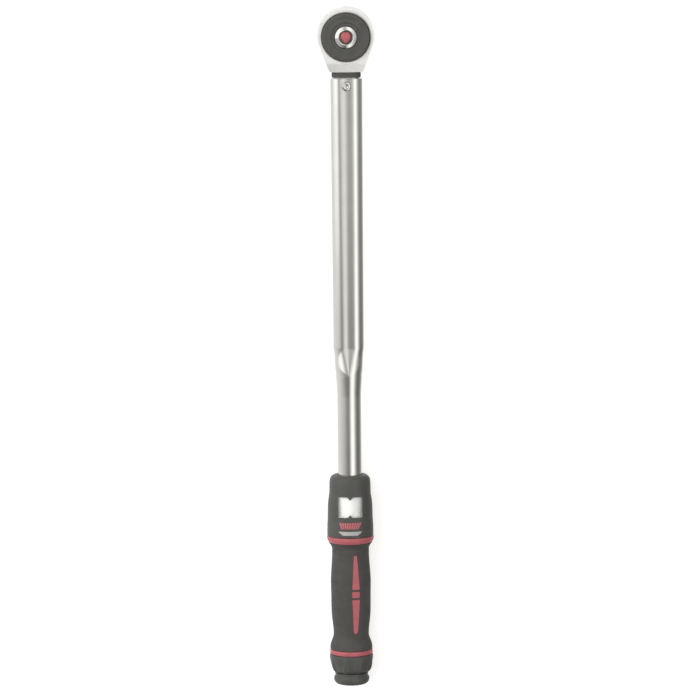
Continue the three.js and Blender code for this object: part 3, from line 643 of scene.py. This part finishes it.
# ---------- tube ----------
WALL = 2.0
TUBE_START = span("tube")[0].x
TUBE_END = span("tube")[1].x
FLAT_END = 274.0
SHOULDER_X = 297.0
ROUND_START = 317.0
FLAT_HOLLOW = 0.36
SIDE_R = 8.65
FLAT_HALF = 5.35  # half the flat's width at the mouth
FLAT_TAPER = 0.6  # how much of it is lost by the flat's end
LINK_SLOT_X = (391.8, 408.2)
LINK_SLOT_HALF = 1.8
PLUG_PIN_X = 516


def tube_section(x):
    """Half the flat's width, the sides' radius and the depth of the flat's hollow at a station."""
    if x <= FLAT_END:
        share = (x - TUBE_START) / (FLAT_END - TUBE_START)
        return FLAT_HALF - FLAT_TAPER * share, SIDE_R, FLAT_HOLLOW
    if x <= SHOULDER_X:
        share = (x - FLAT_END) / (SHOULDER_X - FLAT_END)
        return 4.75 - 4.6 * share, SIDE_R + 2.65 * smooth(share * 0.97), FLAT_HOLLOW * (1 - share)
    share = smooth((x - SHOULDER_X) / (ROUND_START - SHOULDER_X))
    return 0.15 - 0.14 * share, 11.3 - 0.8 * share, 0.0


def tube():
    stations = [TUBE_START, TUBE_START + 0.25, TUBE_START + 0.7, 60, 120, 180, 240, 262, FLAT_END - 3]
    stations += [FLAT_END - 1 + i for i in range(46)]
    stations += [330, 360, 400, 450, 500, TUBE_END - 0.5, TUBE_END]
    last = len(stations) - 1
    outer = []
    inner = []
    for i, x in enumerate(stations):
        half, r, hollow = tube_section(x)
        outer_lip = {0: 0.5, 1: 0.15, last: 0.5}.get(i, 0.0)
        inner_lip = {0: 0.4, 1: 0.12, last: 0.4}.get(i, 0.0)
        outer.append(stadium(x, half, r - outer_lip, 160, 24, hollow))
        inner.append(stadium(x, half, r - WALL + inner_lip, 160, 24, hollow))
    body = skinned(outer + inner[::-1], closed=True)
    pin_hole = turned([(0, 0), (0, 4.15), (60, 4.15), (60, 0)], 64, upright=True, centre=(PIVOT_X, 0))
    x0, x1 = LINK_SLOT_X
    tall = LINK_SLOT_HALF
    slot = [
        (x0 + tall, -tall), (x1 - tall, -tall), (x1, 0), (x1 - tall, tall), (x0 + tall, tall), (x0, 0),
    ]
    link_slot = skinned([[(x, y, z + AXIS_Z) for x, z in slot] for y in (-20, 20)])
    plug_hole = turned([(28, 0), (28, 1.7), (60, 1.7), (60, 0)], 32, upright=True, centre=(PLUG_PIN_X, 0))
    return carved(body, pin_hole, link_slot, plug_hole)


piece("tube_polished", tube(), "frame", "polished_steel", ["tube"], sharp=30)

PIN_TOP = 9.05  # height of the riveted end over the tube's axis
half_pin = [(PIN_TOP - 1.0, 0), (PIN_TOP - 0.95, 0.7), (PIN_TOP - 0.35, 1.3), (PIN_TOP - 0.05, 1.9),
            (PIN_TOP, 2.5), (PIN_TOP - 0.12, 3.2), (PIN_TOP - 0.45, 3.75), (PIN_TOP - 0.9, 4.0)]
pin_profile = [(AXIS_Z + z, r) for z, r in half_pin] + [(AXIS_Z - z, r) for z, r in reversed(half_pin)]
piece("pivot_rivet", turned(pin_profile, 96, upright=True, centre=(PIVOT_X, 0)), "frame", "polished_steel",
      ["pivot_pin"])

# ---------- collar, window, card and lens ----------
COLLAR_CURVE = [(387.0, 14.6), (388.2, 16.3), (390.3, 17.7), (394, 18.2), (403, 18.4), (407, 19.0),
                (414, 19.75), (426, 20.05), (434, 20.45), (440.4, 20.5)]
COLLAR_FINE = along_curve(COLLAR_CURVE, 5)
COLLAR_X = (span("collar")[0].x, span("collar")[1].x)
CAVITY_X = (389.8, 438.0)
CAVITY_R = 16.1
BORE_R = 10.8
lens_low, lens_high = span("scale_lens")
WINDOW_X = (lens_low.x - 0.25, lens_high.x + 0.25)
WINDOW_HALF = 11.0
ABOVE_AXIS = (AXIS_Z + 5, 60)  # from inside the part to well above it, for cutters


def window(by=0.0):
    """The window's outline with its two pointers, grown by a little."""
    x0, x1 = WINDOW_X[0] - by, WINDOW_X[1] + by
    w = WINDOW_HALF + by
    return filleted([
        (x0, -w, 0.5), (x0, -2.4, 0.3), (x0 + 2.7, 0, 0.3), (x0, 2.4, 0.3), (x0, w, 0.5),
        (x1, w, 0.5), (x1, 2.2, 0.3), (x1 - 2.2, 0, 0.3), (x1, -2.2, 0.3), (x1, -w, 0.5),
    ], steps=4)


def collar_radius(x):
    """The collar's outer radius at a station."""
    for (x0, r0), (x1, r1) in zip(COLLAR_FINE, COLLAR_FINE[1:]):
        if x0 <= x <= x1:
            return r0 + (r1 - r0) * (x - x0) / (x1 - x0)
    return COLLAR_FINE[-1][1]


def collar():
    x0, x1 = COLLAR_X
    front = [(x0 + 0.3, BORE_R), (x0, BORE_R + 0.4), (x0, 13.3), (x0 + 0.08, 14.0)]
    back = [(x1 - 0.15, 20.4), (x1, 20.2), (x1, BORE_R)]
    inside = [(CAVITY_X[1], BORE_R), (CAVITY_X[1], CAVITY_R), (CAVITY_X[0], CAVITY_R), (CAVITY_X[0], BORE_R)]
    body = turned(front + COLLAR_FINE + back + inside, ROUND, closed=True)
    return carved(body, slab(window(), *ABOVE_AXIS))


piece("collar_shell", collar(), "frame", "black_plastic", ["collar"], sharp=30)


def lens():
    stations = [WINDOW_X[0] - 1 + i for i in range(22)]
    outer = [(x, collar_radius(x) - 0.35) for x in stations]
    shell = turned(outer + [(stations[-1], 16.4), (stations[0], 16.4)], 240, closed=True)
    return carved(shell, slab(window(-0.2), *ABOVE_AXIS), how="INTERSECT")


piece("window_lens", lens(), "frame", "clear_plastic", ["scale_lens"])


def shell_patch(outline, radius_at, thick, lift=0.0, across=26):
    """A thin curved patch on a turned surface. The outline gives (x, left y, right y)."""
    rings = []
    for sink in (0.0, thick):
        for x, left, right in outline if sink == 0.0 else outline[::-1]:
            r = radius_at(x) + lift - sink
            ring = []
            for i in range(across + 1):
                turn = math.asin((left + (right - left) * i / across) / r)
                ring.append((x, r * math.sin(turn), AXIS_Z + r * math.cos(turn)))
            rings.append(ring)
    bm = bmesh.new()
    made = [[bm.verts.new(point) for point in ring] for ring in rings]
    count = len(made)
    for k in range(count):
        a, b = made[k], made[(k + 1) % count]
        for i in range(across):
            bm.faces.new((a[i], a[i + 1], b[i + 1], b[i]))
    for i in (0, across):
        bm.faces.new([ring[i] for ring in made])
    bmesh.ops.recalc_face_normals(bm, faces=bm.faces)
    return bm


card_low, card_high = span("scale_card")
CARD_HALF = 12.2
TICKS = 14
TICK_PITCH = 2.0
TICK_OUTER_Y = 9.6


def card_radius(x):
    """The same radius all along the card."""
    return 15.6


def card():
    outline = [(card_low.x, -CARD_HALF, CARD_HALF), (card_high.x, -CARD_HALF, CARD_HALF)]
    return shell_patch(outline, card_radius, 0.8, across=48)


def ticks():
    """Generic tick marks: a fine scale on both sides of the card, with every fifth one longer."""
    bars = []
    for side in (-1, 1):
        for i in range(TICKS):
            x = card_low.x + 2.6 + TICK_PITCH * i
            length = 2.6 if i % 5 == 2 else 1.5
            start, end = sorted((side * TICK_OUTER_Y, side * (TICK_OUTER_Y - length)))
            outline = [(x, start, end), (x + 0.3, start, end)]
            bars.append(shell_patch(outline, card_radius, 0.06, lift=0.05, across=4))
    return gathered(bars)


piece("card_strip", card(), "scale", "white_card", ["scale_card"])
piece("card_ticks", ticks(), "scale", "grey_plastic")

red_low, red_high = span("marking_red")
grey_low, grey_high = span("marking_grey")


def print_patch(outline, across):
    """A thin printed mark on the collar."""
    return shell_patch(outline, collar_radius, 0.25, lift=0.12, across=across)


def hatched_mark(x0, x1, half0, half1, count):
    """A plain row of slanted strokes that narrows towards its far side."""
    strokes = []
    for i in range(count):
        start = 2 * i / count - 1
        end = 2 * (i + 0.72) / count - 1
        near = (x0, start * half0 + 0.5, end * half0 + 0.5)
        far = (x1, start * half1 - 0.3, end * half1 - 0.3)
        strokes.append(print_patch([near, far], 4))
    return gathered(strokes)


red_mark = hatched_mark(red_low.x - 1.0, red_high.x + 0.9, 10.2, 7.8, 9)
piece("mark_red", red_mark, "frame", "red_plastic", ["marking_red"])
grey_mark = print_patch([
    (grey_low.x + 0.4, -10.4, 10.4), (grey_low.x + 1.6, -9.6, 9.6), (grey_high.x, -6.6, 6.6),
], 40)
piece("mark_grey", grey_mark, "frame", "grey_plastic", ["marking_grey"])

# ---------- trim ring and grip ----------
trim_low, trim_high = span("trim_ring")
TRIM_R = 20.75
piece("trim_band", turned(filleted([
    (trim_low.x, BORE_R), (trim_low.x, 20.3, 0.3), (trim_low.x + 0.8, TRIM_R, 0.6), (444.0, TRIM_R, 1.2),
    (trim_high.x, 19.5, 0.25), (trim_high.x, BORE_R),
], steps=5), ROUND, closed=True), "frame", "red_plastic", ["trim_ring"])

GRIP_X = (span("grip")[0].x, span("grip")[1].x)
GRIP_BORE_R = 12.9
INLAY_TURN = -15.0  # degrees around the tube's axis
GRIP_CURVE = [(447.7, 19.05), (449.0, 18.1), (450.6, 17.1), (452.8, 16.4), (457, 16.35), (463, 16.6),
              (476, 17.5), (482, 17.75), (492, 17.6), (509, 17.4), (516, 16.9), (525, 15.9), (529, 15.7),
              (532, 15.9), (535, 16.9), (538, 18.05), (540.5, 18.6), (542.7, 18.75)]
GRIP_FINE = along_curve(GRIP_CURVE, 6)


def grip_body(offset, bore, segments=192):
    """The grip's turned shape with a bore through it, its outside made larger by the offset."""
    front = [(GRIP_X[0], bore), (GRIP_X[0], 18.9 + offset), (GRIP_X[0] + 0.12, 19.15 + offset)]
    back = [(GRIP_X[1] - 0.1, 18.65 + offset), (GRIP_X[1], 18.4 + offset), (GRIP_X[1], bore)]
    middle = [(x, r + offset) for x, r in GRIP_FINE]
    return turned(front + middle + back, segments, closed=True)


INLAYS = {
    "front": [(457.3, -1.4, 1.0), (457.3, 1.4, 1.0), (487.8, 3.5, 1.0), (487.8, -3.5, 1.0)],
    "middle": [(489.6, -3.5, 0.7), (489.6, 3.5, 0.7), (495.0, 3.5, 0.7), (495.0, -3.5, 0.7)],
    "rear": [(496.8, -3.5, 1.0), (496.8, 3.5, 1.0), (526.0, 2.0, 1.6), (528.0, 0.6, 0.5), (528.0, -0.6, 0.5),
             (526.0, -2.0, 1.6)],
}


def spread_outline(points, by):
    """An outline made longer and wider on every side."""
    middle = sum(point[0] for point in points) / len(points)
    return [(x + by * (1 if x > middle else -1), y + by * (1 if y > 0 else -1)) for x, y in points]


grip = grip_body(0, GRIP_BORE_R)
for side, turn in (("top", 0), ("under", 180)):
    for place, corners in INLAYS.items():
        shape = filleted(corners, steps=5)
        pocket = rolled(slab(spread_outline(shape, 0.18), *ABOVE_AXIS), turn + INLAY_TURN)
        pocket = carved(pocket, grip_body(-1.4, 1.0, 96))
        grip = carved(grip, pocket)
        strip = rolled(slab(shape, *ABOVE_AXIS), turn + INLAY_TURN)
        strip = carved(carved(strip, grip_body(0.15, 1.0), how="INTERSECT"), grip_body(-1.2, 0.9))
        strip = eased(strip, 0.3, steps=2, least=40)
        piece(f"strip_{side}_{place}", strip, "frame", "red_plastic", [f"inlay_{side}_{place}"])
piece("grip_cover", grip, "frame", "black_rubber", ["grip"], sharp=30)

# ---------- knob, its ring and the lock cap ----------
knob_low, knob_high = span("knob")
ring_low, ring_high = span("knob_ring")
FACETS = 8
FACET_START = 549.5
FACET_FULL = 560.0
FACET_TURN = math.radians(4)
FACET_DEPTH = 1.15
KNOB_RING_R = 18.95
NOTCHES = 24
NOTCH_DEPTH = 0.25


def knob_shape(along, radius, turn):
    """Eight shallow finger facets that deepen towards the knob's end."""
    if radius < 14.0 or along < FACET_START:
        return radius
    pitch = 2 * math.pi / FACETS
    off = (turn - FACET_TURN + pitch / 2) % pitch - pitch / 2
    depth = smooth((along - FACET_START) / (FACET_FULL - FACET_START))
    ridge = abs(off) / (pitch / 2)
    valley = 1 - smooth((ridge - 0.45) / 0.5)
    return radius - FACET_DEPTH * depth * valley


piece("knob_band", turned(filleted([
    (ring_low.x, 15.2), (ring_low.x, 18.5, 0.3), (ring_low.x + 0.8, KNOB_RING_R, 0.8),
    (547.0, KNOB_RING_R, 0.8), (ring_high.x, 18.5, 0.3), (ring_high.x, 15.2),
], steps=5), ROUND, closed=True), "knob", "red_plastic", ["knob_ring"])

knob_curve = along_curve([
    (549.4, 19.2), (552, 19.3), (556, 19.2), (558.6, 18.85), (561.2, 18.1), (563.0, 16.9), (564.4, 15.5),
])
knob_front = [(knob_low.x, 4.2), (knob_low.x, 14.7), (knob_low.x + 0.3, 15.0), (548.2, 15.0), (548.2, 18.5),
              (548.4, 18.9), (548.8, 19.1)]
knob_back = [(564.85, 15.1), (knob_high.x, 14.7), (knob_high.x, 9.9), (knob_high.x - 0.3, 9.6), (551.2, 9.6),
             (551.2, 4.2)]
knob = turned(knob_front + knob_curve + knob_back, 256, closed=True, shape=knob_shape)
piece("knob_shell", knob, "knob", "black_plastic", ["knob"])

cap_low, cap_high = span("lock_cap")
cap_curve = along_curve([
    (565.9, 14.75), (567, 14.45), (568.2, 14.9), (569.4, 15.7), (570.5, 15.85), (572, 15.6), (573.6, 14.9),
    (574.8, 13.6), (575.4, 12.0),
])


def cap_shape(along, radius, turn):
    """Small notches around the cap's flange."""
    if radius < 15.0 or not 568.5 < along < 573.5:
        return radius
    return radius - NOTCH_DEPTH * max(0.0, math.cos(NOTCHES * turn)) ** 2


cap_front = [(cap_low.x, 0), (cap_low.x, 9.2), (cap_low.x + 0.2, 9.4), (565.3, 9.4), (565.3, 14.5)]
cap_back = [(575.7, 10.5), (cap_high.x, 9.4), (cap_high.x, 8.6), (575.4, 8.1), (575.2, 7.4), (575.3, 0)]
cap = turned(cap_front + cap_curve + cap_back, 240, shape=cap_shape)
cap_hollow = turned([(cap_low.x - 1, 0), (cap_low.x - 1, 8.8), (567.3, 8.8), (567.3, 0)], 96)
piece("lock_cap_shell", carved(cap, cap_hollow), "lock", "black_plastic", ["lock_cap"])

# ---------- floor ----------
# The wrench lies on the end of its drive square and on its knob, so the floor slopes in its frame.
REST_FRONT = (SQUARE_HALF - 0.9, 0.0)
REST_BACK = (552.0, AXIS_Z - 19.3)
FLOOR_GAP = 0.00005  # metres
slope = math.atan2(REST_BACK[1] - REST_FRONT[1], REST_BACK[0] - REST_FRONT[0])
FLOOR_HALF = 14.0
floor_mesh = bmesh.new()
bmesh.ops.create_grid(floor_mesh, x_segments=8, y_segments=8, size=FLOOR_HALF)
floor_data = bpy.data.meshes.new("floor")
floor_mesh.to_mesh(floor_data)
floor_mesh.free()
floor = bpy.data.objects.new("floor", floor_data)
bpy.context.scene.collection.objects.link(floor)
floor.rotation_euler = (0, -slope, 0)
floor.location = (0, 0, (REST_FRONT[1] - REST_FRONT[0] * math.tan(slope)) * MM - FLOOR_GAP)
paint = Nodes("pale_floor")
tone = paint.mix(paint.spread(paint.noise(3.0), 0.0, 1.0), (0.56, 0.56, 0.55, 1), (0.58, 0.58, 0.57, 1))
paint.into("Base Color", tone)
paint.into("Roughness", 0.9)
paint.into("Specular IOR Level", 0.1)
paint.into("Emission Color", (1.0, 0.985, 0.96, 1.0))
paint.into("Emission Strength", 0.62)
floor_data.materials.append(paint.material)
floor.visible_glossy = False

# ---------- light ----------
scene = bpy.context.scene
scene.view_settings.view_transform = "Standard"

# Brightness of the surroundings by angle from straight up, in degrees, seen along the wrench. SKY is
# the room all around, with a dark gap overhead. LEFT_STRIP and OVERHEAD are added to it, and fade out
# in directions that lean towards the handle.
SKY = [(-180, 0.9), (-140, 0.85), (-100, 0.76), (-74, 0.62), (-52, 0.45), (-31, 0.27), (-12, 0.19),
       (-2, 0.18), (4, 0.33), (10, 0.65), (17, 1.0), (27, 1.25), (37, 1.25), (48, 0.9), (58, 0.5), (70, 0.25),
       (82, 0.14), (100, 0.16), (118, 0.25), (138, 0.5), (160, 0.8)]
LEFT_STRIP = [(-110, 0.0), (-94, 0.18), (-78, 0.55), (-63, 0.8), (-48, 0.95), (-36, 0.75), (-25, 0.4),
              (-15, 0.1), (-8, 0.0)]
OVERHEAD = [(-60, 0.0), (-40, 0.3), (-25, 0.35), (-13, 0.45), (-5, 0.9), (3, 1.0), (8, 0.6), (13, 0.1),
            (20, 0.0), (45, 0.0), (65, 0.35), (85, 0.3), (105, 0.25), (130, 0.0)]
SKY_TOP = 1.3  # a ramp holds at most 1, so the sky is divided by this and lit by as much
BACKDROP = (1.0, 0.975, 0.95, 1)


def build_world():
    world = bpy.data.worlds.new("studio")
    scene.world = world
    world.use_nodes = True
    tree = world.node_tree
    tree.nodes.clear()

    def math_node(operation, a, b):
        return add_node(tree, "ShaderNodeMath", {"operation": operation}, i0=a, i1=b).outputs[0]

    direction = add_node(tree, "ShaderNodeTexCoord").outputs["Generated"]
    parts = add_node(tree, "ShaderNodeSeparateXYZ", Vector=direction)
    angle = math_node("ARCTAN2", parts.outputs[1], parts.outputs[2])
    share = map_range(tree, angle, -math.pi, math.pi, 0.0, 1.0)

    def ramp(stops, top=1.0):
        """A brightness by angle, divided by its top."""
        node = add_node(tree, "ShaderNodeValToRGB", Fac=share)
        while len(node.color_ramp.elements) < len(stops):
            node.color_ramp.elements.new(0.5)
        for element, (degrees, value) in zip(node.color_ramp.elements, stops):
            element.position = (degrees + 180) / 360
            element.color = (value / top, value / top, value / top, 1)
        return node.outputs[0]

    def along(start, end, first, last):
        """A strength that changes along the wrench, from one direction to another."""
        return map_range(tree, parts.outputs[0], start, end, first, last)

    strip = math_node("MULTIPLY", ramp(LEFT_STRIP), along(0.095, 0.125, 0.62, 0.0))
    overhead = math_node("MULTIPLY", ramp(OVERHEAD), along(0.09, 0.15, 0.31, 0.03))
    total = math_node("ADD", math_node("ADD", ramp(SKY, SKY_TOP), strip), overhead)
    total = math_node("MULTIPLY", total, along(0.8, 0.97, 1.0, 0.35))
    room = add_node(tree, "ShaderNodeBackground", Color=total, Strength=SKY_TOP).outputs[0]
    backdrop = add_node(tree, "ShaderNodeBackground", Color=BACKDROP, Strength=1.0).outputs[0]
    seen = add_node(tree, "ShaderNodeLightPath").outputs["Is Camera Ray"]
    mixed = add_node(tree, "ShaderNodeMixShader", Fac=seen, i1=room, i2=backdrop).outputs[0]
    add_node(tree, "ShaderNodeOutputWorld", Surface=mixed)


build_world()

KEY_PLACE = (-0.2, -1.1, 1.8)
KEY_AIM = Vector((0.28, 0, 0))
key_data = bpy.data.lights.new("key", "AREA")
key_data.shape = "DISK"
key_data.size = 2.6
key_data.energy = 36.0
key = bpy.data.objects.new("key", key_data)
scene.collection.objects.link(key)
key.location = KEY_PLACE
key.rotation_euler = (KEY_AIM - key.location).to_track_quat("-Z", "Y").to_euler()
key.visible_camera = False
key.visible_glossy = False

# ---------- camera ----------
TARGET = Vector((275.73, 1.157, AXIS_Z)) * MM
DISTANCE = 3.2588
TILT = math.radians(7.5)  # from straight above, towards the head
ROLL = math.radians(0.529)
LENS = 190
back = Vector((-math.sin(TILT), 0, math.cos(TILT)))
up = Vector((-1, 0, 0))
up = (up - back * up.dot(back)).normalized()
right = (-back).cross(up)
up_rolled = up * math.cos(ROLL) + right * math.sin(ROLL)
right_rolled = right * math.cos(ROLL) - up * math.sin(ROLL)
camera_data = bpy.data.cameras.new("camera")
camera_data.lens = LENS
camera_data.sensor_width = 36
camera_data.clip_start = 0.05
camera_data.clip_end = 100
camera = bpy.data.objects.new("camera", camera_data)
scene.collection.objects.link(camera)
turn = Matrix((right_rolled, up_rolled, back)).transposed().to_4x4()
camera.matrix_world = Matrix.Translation(TARGET + back * DISTANCE) @ turn
scene.camera = camera
